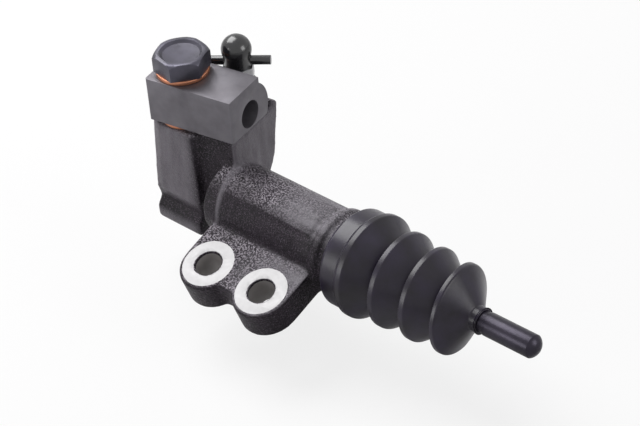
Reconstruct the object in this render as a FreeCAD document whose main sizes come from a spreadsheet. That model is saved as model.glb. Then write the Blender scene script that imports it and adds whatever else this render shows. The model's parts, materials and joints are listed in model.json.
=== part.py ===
import FreeCAD, Part
import math
import os
import re
import Sketcher

# Hydraulic clutch actuator with a clamped pipe union, bleeder, piston, boot and push rod.
# All lengths are millimetres and all angles are degrees. The pieces are drawn about the
# barrel's axis: X runs along it towards the push rod, and X = 0 is the face that the pipe
# enters. Two tilted frames share that origin: the head frame is turned about Z by headYaw,
# and the lug frame is turned about X by lugTilt. Every finished piece is then shifted so
# that the origin is the middle of the two mounting lugs, on their machined faces.
SIZES = {
    # mounting lugs
    "lugSpacing": 24.0,
    "lugHoleRadius": 4.5,
    "lugRingRadius": 9.2,
    "lugRingStand": 0.3,
    "lugRim": 1.1,
    "lugThickness": 10.8,
    "lugOffset": 27.3,
    "lugRise": 3.9,
    "lugTilt": 19.0,
    "lugMid": 23.0,
    "lugNotchDrop": 5.2,
    # barrel
    "barrelRadius": 13.2,
    "boreRadius": 9.525,
    "endWall": 5.0,
    "barrelRear": -4.4,
    "mouthStation": 58.0,
    "collarStation": 44.5,
    "collarWidth": 2.6,
    "collarRadius": 14.3,
    "reliefWidth": 1.2,
    "reliefDepth": 0.7,
    "rimWidth": 1.7,
    "seatWidth": 4.0,
    "seatDepth": 1.4,
    "mouthChamfer": 1.0,
    "padRise": 0.5,
    "padStart": 3.2,
    "padEnd": 41.5,
    "padHalfAngle": 18.5,
    "padTilt": 27.5,
    # head block under the union
    "headYaw": 10.5,
    "headLength": 14.0,
    "headFarSide": 26.8,
    "headFarLean": 4.2,
    "headFoot": 2.0,
    "earWidth": 3.4,
    "earHeight": 2.4,
    "earChamfer": 1.6,
    # tower that carries the union
    "towerRear": 8.4,
    "towerFront": 10.3,
    "towerNear": 9.8,
    "towerFar": 9.8,
    "towerFoot": -6.0,
    "towerRearFlare": 1.4,
    "towerFrontFlare": 2.2,
    "towerNearFlare": 0.8,
    "towerFacetLength": 4.0,
    "towerFacetDepth": 1.2,
    "footRear": 8.9,
    "footFront": 11.6,
    "footNear": 10.4,
    "footWaist": 1.4,
    "footWaistHeight": -11.0,
    "footLedge": -14.0,
    "footBack": 12.0,
    "footBottom": -19.4,
    "footRound": 1.6,
    "neckFront": 1.0,
    "neckBack": 12.0,
    "neckTop": 12.0,
    "neckBottom": -11.0,
    # union
    "unionLength": 33.8,
    "unionWidth": 17.4,
    "unionHeight": 16.3,
    "unionBottom": 22.3,
    "unionEdge": 0.8,
    "unionRest": 0.05,
    "portBossRadius": 10.8,
    "portBossLength": 8.4,
    "portRadius": 4.9,
    "portDepth": 13.0,
    "passageRadius": 1.75,
    # union bolt and its two sealing washers
    "boltStation": -24.8,
    "boltAcross": 9.5,
    "boltRadius": 6.0,
    "boltClearance": 0.15,
    "boltNeckRadius": 4.9,
    "boltEngage": 13.0,
    "boltTipChamfer": 1.0,
    "boltBore": 2.5,
    "boltCrossHole": 1.6,
    "hexTurn": -14.0,
    "hexAcross": 17.0,
    "hexHeight": 6.3,
    "hexRimRadius": 8.8,
    "hexRimDrop": 1.2,
    "hexDishRadius": 7.2,
    "hexDishDepth": 0.9,
    "washerThickness": 1.5,
    "washerRadius": 9.1,
    # bleeder screw and cap
    "bleederStation": -13.5,
    "bleederAcross": 25.0,
    "bleederBossRadius": 6.0,
    "bleederBossTop": 28.6,
    "bleederBossFoot": 5.0,
    "bleederThreadRadius": 4.0,
    "bleederClearance": 0.05,
    "bleederDepth": 14.0,
    "bleederConeRadius": 1.4,
    "bleederConeLength": 3.0,
    "bleederHexAcross": 10.0,
    "bleederHexHeight": 5.0,
    "bleederHexGap": 1.4,
    "bleederNeckRadius": 2.6,
    "bleederBarbRadius": 3.3,
    "bleederNippleLength": 9.0,
    "bleederNeckLength": 2.4,
    "bleederDrill": 1.0,
    "capRadius": 5.2,
    "capHeight": 11.4,
    "capClearance": 0.03,
    "capMouthRadius": 4.8,
    "capTabRadius": 1.6,
    "capTabReach": 11.3,
    "capTabRise": 1.75,
    "capTabTurn": 26.5,
    # piston group
    "pistonStation": 33.0,
    "pistonLength": 21.0,
    "pistonClearance": 0.035,
    "landLength": 4.0,
    "waistRadius": 6.6,
    "noseRadius": 5.2,
    "noseLength": 4.0,
    "socketDepth": 9.0,
    "socketMouthRadius": 7.0,
    "cupLength": 4.4,
    "cupWall": 1.6,
    "cupClearance": 0.06,
    "cupHeel": 1.5,
    "guideCupLength": 3.6,
    "seatFlangeRadius": 7.6,
    "springSeatThickness": 1.2,
    "springSeatLength": 5.0,
    "springWire": 0.7,
    "springRearRadius": 8.4,
    "springFrontRadius": 6.7,
    "springTurns": 6.0,
    "springGap": 0.05,
    "stopRingGap": 0.3,
    "stopRingWidth": 1.2,
    "stopRingDepth": 1.7,
    "stopRingSink": 0.6,
    "stopRingPlay": 0.03,
    "stopRingOpening": 6.0,
    # push rod
    "rodRadius": 4.0,
    "rodShankRadius": 3.8,
    "rodTip": 129.5,
    "rodTipLength": 20.5,
    "rodBallGap": 0.05,
    "rodTipRadius": 4.6,
    "rodGrooveStation": 105.2,
    "rodGrooveWidth": 3.0,
    "rodGrooveDepth": 0.7,
    # boot
    "bootWall": 1.3,
    "bootFit": 0.1,
    "lipRadius": 17.0,
    "lipLength": 8.2,
    "crestStation": 60.6,
    "crestPitch": 12.1,
    "crestCount": 4.0,
    "crestRadius": 17.9,
    "crestTaper": 0.65,
    "crestFlat": 2.6,
    "crestStep": 1.1,
    "valleyDepth": 6.0,
    "neckBootRadius": 5.3,
}

doc = FreeCAD.newDocument("clutch_actuator")
sheet = doc.addObject("Spreadsheet::Sheet", "Sizes")
X_AXIS = FreeCAD.Vector(1, 0, 0)
Y_AXIS = FreeCAD.Vector(0, 1, 0)
Z_AXIS = FreeCAD.Vector(0, 0, 1)
PLANE_TURN = {
    "XY": FreeCAD.Rotation(),
    "XZ": FreeCAD.Rotation(X_AXIS, 90),
    "YZ": FreeCAD.Rotation(FreeCAD.Vector(1, 1, 1), 120),
}


def formula(text):
    """Return an expression in which each name of a size points at its cell."""
    return re.sub(r"[a-z]\w*", lambda word: "Sizes." + word.group() if word.group() in SIZES else word.group(), text)


def number(text):
    """Return the value of an expression of sizes."""
    return float(sheet.evalExpression(formula(text)))


def bind(item, **expressions):
    """Tie properties of an object to expressions of sizes."""
    for name, text in expressions.items():
        item.setExpression(name.replace("__", "."), formula(text))
    return item


def fill_sheet():
    """Write each size into a cell with its name as alias."""
    for row, (alias, value) in enumerate(SIZES.items(), start=1):
        sheet.set(f"A{row}", alias)
        sheet.set(f"B{row}", str(value))
        sheet.setAlias(f"B{row}", alias)
    doc.recompute()


def place(item, station="0", across="0", height="0", turn_axis=Z_AXIS, turn="0"):
    """Put an object at a bound position, turned by a bound angle about an axis."""
    item.Placement = FreeCAD.Placement(FreeCAD.Vector(), FreeCAD.Rotation(turn_axis, 1))
    item.setExpression("Placement.Rotation.Angle", formula(turn))
    item.setExpression("Placement.Base.x", formula(station))
    item.setExpression("Placement.Base.y", formula(across))
    item.setExpression("Placement.Base.z", formula(height))
    return item


LUG_ACROSS = "(lugOffset * cos(lugTilt) + lugRise * sin(lugTilt))"
LUG_HEIGHT = "(lugOffset * sin(lugTilt) - lugRise * cos(lugTilt))"
BOLT_X = "(boltStation * cos(headYaw) - boltAcross * sin(headYaw))"
BOLT_Y = "(boltStation * sin(headYaw) + boltAcross * cos(headYaw))"
BLEEDER_X = "(bleederStation * cos(headYaw) - bleederAcross * sin(headYaw))"
BLEEDER_Y = "(bleederStation * sin(headYaw) + bleederAcross * cos(headYaw))"
TOWER_TOP = "(unionBottom - washerThickness)"
UNION_TOP = "(unionBottom + unionHeight)"
PORT_HEIGHT = "(unionBottom + unionHeight - portBossRadius)"
BORE_START = "(barrelRear + endWall)"
WIRE_SIDES = 8
SHARP_JOIN = 2


def finish(item, label, turn="0", station="0", across="0", turn_axis=Z_AXIS):
    """Name a finished piece and shift it so that the origin is between the lugs."""
    item.Label = label
    return place(item, f"{station} - lugMid", f"{across} + {LUG_ACROSS}", LUG_HEIGHT, turn_axis, turn)


def outline_sketch(sketch, corners):
    """Draw a closed outline of straight lines whose corners are bound to expressions."""
    spots = [FreeCAD.Vector(number(across), number(up), 0) for across, up in corners]
    count = len(spots)
    for index in range(count):
        sketch.addGeometry(Part.LineSegment(spots[index], spots[(index + 1) % count]))
    sketch.addConstraint([
        Sketcher.Constraint("Coincident", index, 2, (index + 1) % count, 1) for index in range(count)
    ])
    for index, corner in enumerate(corners):
        for kind, value, text in (("DistanceX", spots[index].x, corner[0]), ("DistanceY", spots[index].y, corner[1])):
            place_of = sketch.addConstraint(Sketcher.Constraint(kind, -1, 1, index, 1, value))
            sketch.setExpression(f"Constraints[{place_of}]", formula(text))
    return sketch


def body_sketch(body, plane, corners):
    """Draw an outline on one of a body's own origin planes."""
    sketch = body.newObject("Sketcher::SketchObject", "Outline")
    support = next(item for item in body.Origin.OriginFeatures if item.Role == plane + "_Plane")
    sketch.AttachmentSupport = (support, "")
    sketch.MapMode = "FlatFace"
    return outline_sketch(sketch, corners)


def turned_body(name, corners, about="X"):
    """Make a body turned about X from (station, radius), or about Z from (radius, height)."""
    body = doc.addObject("PartDesign::Body", name)
    sketch = body_sketch(body, "XY" if about == "X" else "XZ", corners)
    turning = body.newObject("PartDesign::Revolution", "Turning")
    turning.Profile = sketch
    turning.ReferenceAxis = (sketch, ["H_Axis" if about == "X" else "V_Axis"])
    turning.Angle = 360
    return body


def extrusion(corners, plane, length, draft="0", both_ways=False):
    """Extrude a bound outline along its plane's normal."""
    sketch = outline_sketch(doc.addObject("Sketcher::SketchObject", "Outline"), corners)
    sketch.Placement = FreeCAD.Placement(FreeCAD.Vector(), PLANE_TURN[plane])
    item = doc.addObject("Part::Extrusion", "Extrusion")
    item.Base = sketch
    item.DirMode = "Normal"
    item.Solid = True
    item.Symmetric = both_ways
    return bind(item, LengthFwd=length, TaperAngle=draft)


def cylinder(radius, height, station="0", across="0", foot="0", along="Z"):
    """Make a cylinder that starts at a point and runs along Z, X or minus X."""
    item = bind(doc.addObject("Part::Cylinder", "Cylinder"), Radius=radius, Height=height)
    turn = {"Z": "0", "X": "90", "-X": "-90"}[along]
    return place(item, station, across, foot, Y_AXIS, turn)


def box(length, width, height, station, across, foot):
    """Make a box from its least corner."""
    item = bind(doc.addObject("Part::Box", "Box"), Length=length, Width=width, Height=height)
    return place(item, station, across, foot)


def fuse(items):
    """Join solids into one, pair by pair."""
    whole = items[0]
    for piece in items[1:]:
        pair = doc.addObject("Part::Fuse", "Fusion")
        pair.Base = whole
        pair.Tool = piece
        whole = pair
    return whole


def cut(base, tools):
    """Cut several solids out of one."""
    item = doc.addObject("Part::Cut", "Cutting")
    item.Base = base
    item.Tool = fuse(tools)
    return item


def rounded(base, radius, wanted):
    """Round the edges of a solid that a test picks out."""
    doc.recompute()
    item = doc.addObject("Part::Fillet", "Rounding")
    item.Base = base
    value = number(radius)
    item.Edges = [(index, value, value) for index, edge in enumerate(base.Shape.Edges, start=1) if wanted(edge)]
    return item


def middle(edge):
    """Return the middle point of an edge."""
    return edge.valueAt((edge.FirstParameter + edge.LastParameter) / 2)


def upright(edge):
    """Tell whether an edge is a straight line along Z."""
    return edge.Curve.TypeId == "Part::GeomLine" and abs(edge.Curve.Direction.z) == 1


def barrel():
    """Turn the barrel's outside, with the collar, relief, rim and boot groove before its mouth."""
    collar_end = "collarStation + collarWidth"
    relief_end = "collarStation + collarWidth + reliefWidth"
    rim_end = "collarStation + collarWidth + reliefWidth + rimWidth"
    seat_end = "collarStation + collarWidth + reliefWidth + rimWidth + seatWidth"
    return turned_body("Barrel", [
        ("barrelRear", "0"),
        ("barrelRear", "barrelRadius"),
        ("collarStation", "barrelRadius"),
        ("collarStation", "collarRadius"),
        (collar_end, "collarRadius"),
        (collar_end, "barrelRadius - reliefDepth"),
        (relief_end, "barrelRadius - reliefDepth"),
        (relief_end, "barrelRadius"),
        (rim_end, "barrelRadius"),
        (rim_end, "barrelRadius - seatDepth"),
        (seat_end, "barrelRadius - seatDepth"),
        (seat_end, "barrelRadius - seatDepth / 2"),
        ("mouthStation - mouthChamfer", "barrelRadius - seatDepth / 2"),
        ("mouthStation", "barrelRadius - seatDepth / 2 - mouthChamfer"),
        ("mouthStation", "0"),
    ])


def barrel_pad():
    """Make the low raised pad on the barrel's upper side."""
    pad = doc.addObject("Part::Cylinder", "Pad")
    bind(pad, Radius="barrelRadius + padRise", Height="padEnd - padStart", Angle="2 * padHalfAngle")
    turn = FreeCAD.Rotation(X_AXIS, number("padTilt - padHalfAngle")) * FreeCAD.Rotation(Y_AXIS, 90)
    pad.Placement = FreeCAD.Placement(FreeCAD.Vector(number("padStart"), 0, 0), turn * FreeCAD.Rotation(Z_AXIS, 180))
    return pad


def tower_outline(sketch, flare):
    """Draw the tower's plan about the bolt's axis, with a facet on each rear corner."""
    rear = f"({BOLT_X} - towerRear - {flare} * towerRearFlare)"
    front = f"({BOLT_X} + towerFront + {flare} * towerFrontFlare)"
    near = f"({BOLT_Y} - towerNear - {flare} * towerNearFlare)"
    far = f"({BOLT_Y} + towerFar)"
    return outline_sketch(sketch, [
        (f"{rear} + towerFacetLength", near),
        (front, near),
        (front, far),
        (f"{rear} + towerFacetLength", far),
        (rear, f"{far} - towerFacetDepth"),
        (rear, f"{near} + towerFacetDepth"),
    ])


def tower():
    """Loft the column that the union is bolted to, which spreads towards its foot."""
    foot = place(tower_outline(doc.addObject("Sketcher::SketchObject", "TowerFoot"), "1"), height="towerFoot")
    top = place(tower_outline(doc.addObject("Sketcher::SketchObject", "TowerTop"), "0"), height=TOWER_TOP)
    column = doc.addObject("Part::Loft", "Tower")
    column.Sections = [foot, top]
    column.Solid = True
    column.Ruled = True
    return column


def rear_block():
    """Make the thick foot under the tower, with the hollow waist that the casting has above its ledge."""
    near = f"({BOLT_Y} - footNear)"
    block = extrusion([
        (near, "towerFoot"),
        (f"{near} + footWaist", "footWaistHeight"),
        (f"{near} - footWaist / 2", "footLedge"),
        (f"{near} - footWaist / 2", "footBottom"),
        ("footBack", "footBottom"),
        ("footBack", "towerFoot"),
    ], "YZ", "footRear + footFront")
    place(block, f"{BOLT_X} - footRear")
    return rounded(block, "footRound", lambda edge: middle(edge).z < number("footBottom + footRound / 2"))


def neck():
    """Make the web that joins the tower and its foot to the barrel's closed end."""
    return box(f"barrelRear + endWall / 2 - {BOLT_X}", "neckBack - neckFront", "neckTop - neckBottom",
               BOLT_X, "neckFront", "neckBottom")


def head_block():
    """Make the block under the union, with the ear that keeps it from turning and the bleeder's boss."""
    block_top = "(unionBottom - unionRest)"
    wall = extrusion([
        ("0", "0 - headFoot"),
        ("0", block_top),
        ("headFarSide - earWidth", block_top),
        ("headFarSide - earWidth", f"{block_top} + earHeight"),
        ("headFarSide - earChamfer", f"{block_top} + earHeight"),
        ("headFarSide", f"{block_top} + earHeight - earChamfer"),
        ("headFarSide - headFarLean", "headFoot * 2"),
        ("headFarSide - headFarLean - headFoot * 2", "0 - headFoot"),
    ], "YZ", "headLength")
    place(wall, "0 - headLength")
    boss = cylinder("bleederBossRadius", "bleederBossTop - bleederBossFoot",
                    "bleederStation", "bleederAcross", "bleederBossFoot")
    return place(fuse([wall, boss]), turn="headYaw")


def lug_plate():
    """Make the mounting plate: two lobes joined to the barrel, with proud machined rings."""
    first = "lugMid - lugSpacing / 2"
    second = "lugMid + lugSpacing / 2"
    lobe = "(lugRingRadius + lugRim)"
    under = "(lugRise - lugRingStand - lugThickness)"
    drop = "0 - lugOffset - lugNotchDrop"
    plate = extrusion([
        (f"{first} - {lobe}", "0"),
        (f"{second} + {lobe}", "0"),
        (f"{second} + {lobe}", "0 - lugOffset"),
        (second, "0 - lugOffset"),
        (second, drop),
        (first, drop),
        (first, "0 - lugOffset"),
        (f"{first} - {lobe}", "0 - lugOffset"),
    ], "XY", "lugThickness")
    place(plate, height=under)
    pieces = [plate]
    for station in (first, second):
        pieces.append(cylinder(lobe, "lugThickness", station, "0 - lugOffset", under))
        pieces.append(cylinder("lugRingRadius", "lugThickness + lugRingStand", station, "0 - lugOffset", under))
    return place(fuse(pieces), turn_axis=X_AXIS, turn="lugTilt")


def lug_holes():
    """Make the two holes that pass through the lugs."""
    reach = "lugThickness * 2"
    holes = [
        cylinder("lugHoleRadius", reach, f"lugMid {side} lugSpacing / 2", "0 - lugOffset", "lugRise - lugThickness * 1.5")
        for side in "-+"
    ]
    return place(fuse(holes), turn_axis=X_AXIS, turn="lugTilt")


def bore():
    """Make the room for the piston, with the stop ring's groove near its mouth."""
    ring_station = "pistonStation + pistonLength + stopRingGap"
    room = cylinder("boreRadius", f"mouthStation - {BORE_START} + mouthChamfer", BORE_START, along="X")
    groove = cylinder("boreRadius + stopRingSink", "stopRingWidth + 2 * stopRingPlay", ring_station, along="X")
    return [room, groove]


def head_holes():
    """Make the union bolt's hole, the bleeder's hole and the drillings that join them to the bore."""
    bolt_hole = cylinder("boltRadius", "boltEngage + washerThickness",
                         BOLT_X, BOLT_Y, f"{TOWER_TOP} - boltEngage")
    feed_height = "(boreRadius / 2)"
    feed = cylinder("passageRadius", f"{BORE_START} - {BOLT_X}", BOLT_X, BOLT_Y, feed_height, along="X")
    feed_drop = cylinder("passageRadius", f"{TOWER_TOP} - {feed_height}", BOLT_X, BOLT_Y, feed_height)
    bleeder_hole = cylinder("bleederThreadRadius + bleederClearance", "bleederDepth + bleederHexGap",
                            BLEEDER_X, BLEEDER_Y, "bleederBossTop - bleederDepth")
    bleed_drop = cylinder("passageRadius / 2", f"bleederBossTop - {feed_height}", BLEEDER_X, BLEEDER_Y, feed_height)
    bleed_cross = extrusion([
        (f"{BLEEDER_X} - passageRadius / 2", f"{feed_height} - passageRadius / 2"),
        (f"{BLEEDER_X} + passageRadius / 2", f"{feed_height} - passageRadius / 2"),
        (f"{BLEEDER_X} + passageRadius / 2", f"{feed_height} + passageRadius / 2"),
        (f"{BLEEDER_X} - passageRadius / 2", f"{feed_height} + passageRadius / 2"),
    ], "XZ", f"{BLEEDER_Y} - {BOLT_Y}")
    place(bleed_cross, across=BLEEDER_Y)
    return [bolt_hole, feed, feed_drop, bleeder_hole, bleed_drop, bleed_cross]


def cylinder_body():
    """Join the casting's parts and cut its holes."""
    solid = fuse([barrel(), barrel_pad(), tower(), rear_block(), neck(), head_block(), lug_plate()])
    return finish(cut(solid, [lug_holes(), *bore(), *head_holes()]), "cylinder_body")


def pipe_union():
    """Make the drilled block that the pipe screws into, with the round boss about its port."""
    bar = box("unionLength", "unionWidth", "unionHeight", "0 - unionLength", "0", "unionBottom")
    boss = cylinder("portBossRadius", "portBossLength", "0", "portBossRadius", PORT_HEIGHT, along="-X")
    below = box("unionLength", "unionWidth * 2", "unionHeight", "0 - unionLength", "0 - unionWidth / 2",
                "unionBottom - unionHeight")
    solid = cut(fuse([bar, boss]), [below])
    bar_end = number("0 - unionLength")
    eased = rounded(solid, "unionEdge", lambda edge: abs(middle(edge).x - bar_end) < number("unionEdge")
                    and upright(edge))
    port = cylinder("portRadius", "portDepth", "0", "portBossRadius", PORT_HEIGHT, along="-X")
    passage = cylinder("passageRadius", "0 - boltStation", "0", "portBossRadius", PORT_HEIGHT, along="-X")
    bolt_hole = cylinder("boltRadius + boltClearance", "unionHeight * 2", "boltStation", "boltAcross",
                         "unionBottom - unionHeight / 2")
    return finish(cut(eased, [port, passage, bolt_hole]), "pipe_union", "headYaw")


def banjo_bolt():
    """Make the hollow bolt: dished hexagon head, plain neck, shank and cross-drilled bore."""
    seat = f"({UNION_TOP} + washerThickness)"
    corner = "(hexAcross / 2 / cos(30))"
    blank = turned_body("Head", [
        ("0", seat),
        (corner, seat),
        (corner, f"{seat} + hexHeight - hexRimDrop"),
        ("hexRimRadius", f"{seat} + hexHeight"),
        ("hexDishRadius", f"{seat} + hexHeight"),
        ("hexDishRadius - hexDishDepth", f"{seat} + hexHeight - hexDishDepth"),
        ("0", f"{seat} + hexHeight - hexDishDepth"),
    ], about="Z")
    hexagon = bind(doc.addObject("Part::Prism", "Hexagon"), Circumradius=corner, Height="hexHeight")
    hexagon.Polygon = 6
    place(hexagon, height=seat)
    head = doc.addObject("Part::Common", "Head")
    head.Base = blank
    head.Tool = hexagon
    tip = f"({TOWER_TOP} - boltEngage + boltTipChamfer)"
    shank = turned_body("Shank", [
        ("0", tip),
        ("boltRadius - boltTipChamfer", tip),
        ("boltRadius", f"{tip} + boltTipChamfer"),
        ("boltRadius", "unionBottom"),
        ("boltNeckRadius", "unionBottom + boltTipChamfer"),
        ("boltNeckRadius", f"{UNION_TOP} - boltTipChamfer"),
        ("boltRadius", UNION_TOP),
        ("boltRadius", f"{seat} + hexHeight / 3"),
        ("0", f"{seat} + hexHeight / 3"),
    ], about="Z")
    middle_bore = cylinder("boltBore", f"{PORT_HEIGHT} - {tip} + boltBore", foot=tip)
    cross = cylinder("boltCrossHole", "boltRadius * 3", "0 - boltRadius * 1.5", "0", PORT_HEIGHT, along="X")
    bolt = cut(fuse([head, shank]), [middle_bore, cross])
    return finish(bolt, "banjo_bolt", "headYaw + hexTurn", BOLT_X, BOLT_Y)


def sealing_washer(label, foot):
    """Make one of the two copper washers that the union is clamped between."""
    top = f"{foot} + washerThickness"
    inside = "boltRadius + boltClearance"
    washer = turned_body(label, [(inside, foot), ("washerRadius", foot), ("washerRadius", top), (inside, top)],
                         about="Z")
    return finish(washer, label, "headYaw", BOLT_X, BOLT_Y)


def bleeder_screw():
    """Make the bleeder: cone seat, shank, hexagon and barbed nipple, drilled up from its seat."""
    hex_foot = "(bleederBossTop + bleederHexGap)"
    hex_top = f"({hex_foot} + bleederHexHeight)"
    neck_top = f"({hex_top} + bleederNeckLength)"
    top = f"({hex_top} + bleederNippleLength)"
    seat = "(bleederBossTop - bleederDepth)"
    stem = turned_body("Stem", [
        ("0", seat),
        ("bleederConeRadius", seat),
        ("bleederThreadRadius", f"{seat} + bleederConeLength"),
        ("bleederThreadRadius", hex_foot),
        ("bleederHexAcross / 2", hex_foot),
        ("bleederHexAcross / 2", hex_top),
        ("bleederNeckRadius", hex_top),
        ("bleederNeckRadius", neck_top),
        ("bleederBarbRadius", f"{neck_top} + bleederNeckRadius / 4"),
        ("bleederBarbRadius", f"{neck_top} + bleederNeckRadius"),
        ("bleederNeckRadius", top),
        ("0", top),
    ], about="Z")
    hexagon = bind(doc.addObject("Part::Prism", "Hexagon"),
                   Circumradius="bleederHexAcross / 2 / cos(30)", Height="bleederHexHeight")
    hexagon.Polygon = 6
    place(hexagon, height=hex_foot)
    drill_foot = f"({seat} + bleederConeLength * 1.5)"
    drill = cylinder("bleederDrill", f"{top} - {drill_foot} + bleederDrill * 2", foot=f"{drill_foot} - bleederDrill * 2")
    side = cylinder("bleederDrill", "bleederThreadRadius * 3", "0 - bleederThreadRadius * 1.5", "0", drill_foot,
                    along="X")
    screw = cut(fuse([stem, hexagon]), [drill, side])
    return finish(screw, "bleeder_screw", "headYaw", BLEEDER_X, BLEEDER_Y)


def bleeder_cap():
    """Make the rubber cap, a ball-shaped dome on the nipple with a pull tab each side."""
    foot = "(bleederBossTop + bleederHexGap + bleederHexHeight + capClearance)"
    nipple_top = f"({foot} + bleederNippleLength)"
    ball_height = f"({foot} + capHeight - capRadius)"
    ball = bind(doc.addObject("Part::Sphere", "Ball"), Radius="capRadius")
    place(ball, height=ball_height)
    skirt = cylinder("capMouthRadius", "capHeight - capRadius", foot=foot)
    tabs = cylinder("capTabRadius", "capTabReach * 2", "0 - capTabReach", "0", f"{foot} + capTabRise", along="X")
    room = turned_body("Room", [
        ("0", f"{foot} - capClearance * 2"),
        ("bleederBarbRadius + capClearance", f"{foot} - capClearance * 2"),
        ("bleederBarbRadius + capClearance", f"{nipple_top} - capTabRadius"),
        ("bleederNeckRadius + capClearance", nipple_top),
        ("0", nipple_top),
    ], about="Z")
    cap = cut(fuse([tabs, skirt, ball]), [room])
    return finish(cap, "bleeder_cap", "headYaw + capTabTurn", BLEEDER_X, BLEEDER_Y)


def piston():
    """Make the piston: nose for the pressure cup, two lands with a waist, and the rod's socket."""
    front = "(pistonStation + pistonLength)"
    land = "(boreRadius - pistonClearance)"
    body = turned_body("PistonTurning", [
        ("pistonStation - noseLength", "0"),
        ("pistonStation - noseLength", "noseRadius"),
        ("pistonStation", "noseRadius"),
        ("pistonStation", land),
        ("pistonStation + landLength", land),
        ("pistonStation + landLength", "waistRadius"),
        (f"{front} - landLength", "waistRadius"),
        (f"{front} - landLength", land),
        (front, land),
        (front, "socketMouthRadius"),
        (f"{front} - socketDepth + rodRadius", "rodRadius + rodBallGap"),
        (f"{front} - socketDepth + rodRadius", "0"),
    ])
    hollow = bind(doc.addObject("Part::Sphere", "Socket"), Radius="rodRadius + rodBallGap")
    place(hollow, f"{front} - socketDepth + rodRadius")
    return finish(cut(body, [hollow]), "piston")


def pressure_cup():
    """Make the lipped rubber cup that seals the piston's pressure side."""
    lip = "(boreRadius - cupClearance)"
    cup = turned_body("PressureCup", [
        ("pistonStation", "noseRadius + cupClearance"),
        ("pistonStation", f"{lip} - cupWall / 4"),
        ("pistonStation - cupHeel", lip),
        ("pistonStation - cupLength", lip),
        ("pistonStation - cupLength", f"{lip} - cupWall / 2"),
        ("pistonStation - cupHeel", f"{lip} - cupWall"),
        ("pistonStation - cupHeel", "noseRadius + cupClearance"),
    ])
    return finish(cup, "pressure_cup")


def guide_cup():
    """Make the second rubber cup, which sits on the piston's waist behind the front land."""
    heel = "(pistonStation + pistonLength - landLength)"
    lip = "(boreRadius - cupClearance)"
    cup = turned_body("GuideCup", [
        (heel, "waistRadius + cupClearance"),
        (heel, f"{lip} - cupWall / 4"),
        (f"{heel} - cupHeel", lip),
        (f"{heel} - guideCupLength", lip),
        (f"{heel} - guideCupLength", f"{lip} - cupWall / 2"),
        (f"{heel} - cupHeel", f"{lip} - cupWall"),
        (f"{heel} - cupHeel", "waistRadius + cupClearance"),
    ])
    return finish(cup, "guide_cup")


SEAT_FRONT = "(pistonStation - cupHeel)"
SEAT_BACK = "(pistonStation - cupHeel - springSeatThickness)"


def spring_seat():
    """Make the pressed hat that carries the spring's front end on the piston's nose."""
    crown = "(pistonStation - noseLength - cupClearance)"
    outside = "(noseRadius + springSeatThickness / 2)"
    inside = "(noseRadius + cupClearance)"
    hat = turned_body("SpringSeat", [
        (f"{crown} - springSeatThickness / 2", "0"),
        (f"{crown} - springSeatThickness / 2", outside),
        (SEAT_BACK, outside),
        (SEAT_BACK, "seatFlangeRadius"),
        (SEAT_FRONT, "seatFlangeRadius"),
        (SEAT_FRONT, inside),
        (crown, inside),
        (crown, "0"),
    ])
    return finish(hat, "spring_seat")


def return_spring():
    """Wind the tapered spring from its narrow end on the spring seat back to the barrel's closed end."""
    wire = number("springWire")
    start = f"({SEAT_BACK} - springGap - springWire)"
    length = number(f"{start} - {BORE_START} - springGap - springWire")
    front = number("springFrontRadius")
    taper = math.degrees(math.atan2(number("springRearRadius") - front, length))
    path = Part.makeHelix(length / number("springTurns"), length, front, taper)
    corners = [
        FreeCAD.Vector(front + wire * math.cos(turn), 0, wire * math.sin(turn))
        for turn in (math.radians(360 / WIRE_SIDES) * index for index in range(WIRE_SIDES))
    ]
    coil = Part.Wire(path.Edges).makePipeShell([Part.makePolygon(corners + corners[:1])], True, True)
    spring = doc.addObject("Part::Feature", "Spring")
    spring.Shape = coil
    return finish(spring, "return_spring", "0 - 90", start, turn_axis=Y_AXIS)


def stop_ring():
    """Make the open snap ring that holds the piston in the bore."""
    foot = "(pistonStation + pistonLength + stopRingGap + stopRingPlay)"
    top = f"({foot} + stopRingWidth)"
    outside = "(boreRadius + stopRingSink - stopRingPlay)"
    ring = turned_body("StopRing", [
        (foot, f"{outside} - stopRingDepth"),
        (foot, outside),
        (top, outside),
        (top, f"{outside} - stopRingDepth"),
    ])
    gap = box("stopRingWidth * 2", "stopRingOpening", "boreRadius * 2", f"{foot} - stopRingWidth / 2",
              "0 - stopRingOpening / 2", "0 - boreRadius * 2")
    return finish(cut(ring, [gap]), "stop_ring")


def push_rod():
    """Make the push rod: ball end in the piston, shank with the boot's groove, and ground tip."""
    ball_centre = "(pistonStation + pistonLength - socketDepth + rodRadius)"
    groove_start = "(rodGrooveStation - rodGrooveWidth / 2)"
    groove_end = "(rodGrooveStation + rodGrooveWidth / 2)"
    shoulder = "(rodTip - rodTipRadius + sqrt(rodTipRadius ^ 2 - rodRadius ^ 2))"
    shaft = turned_body("RodTurning", [
        (ball_centre, "0"),
        (ball_centre, "rodShankRadius"),
        (groove_start, "rodShankRadius"),
        (groove_start, "rodShankRadius - rodGrooveDepth"),
        (groove_end, "rodShankRadius - rodGrooveDepth"),
        (groove_end, "rodShankRadius"),
        ("rodTip - rodTipLength", "rodShankRadius"),
        ("rodTip - rodTipLength", "rodRadius"),
        (shoulder, "rodRadius"),
        (shoulder, "0"),
    ])
    ball = bind(doc.addObject("Part::Sphere", "RodBall"), Radius="rodRadius")
    place(ball, ball_centre, turn_axis=Y_AXIS, turn="90")
    dome = bind(doc.addObject("Part::Sphere", "RodDome"), Radius="rodTipRadius")
    place(dome, "rodTip - rodTipRadius", turn_axis=Y_AXIS, turn="90")
    end = cylinder("rodRadius", "rodTipRadius * 2", "rodTip - rodTipRadius", along="X")
    tip = doc.addObject("Part::Common", "RodTip")
    tip.Base = dome
    tip.Tool = end
    return finish(fuse([shaft, ball, tip]), "push_rod")


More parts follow.
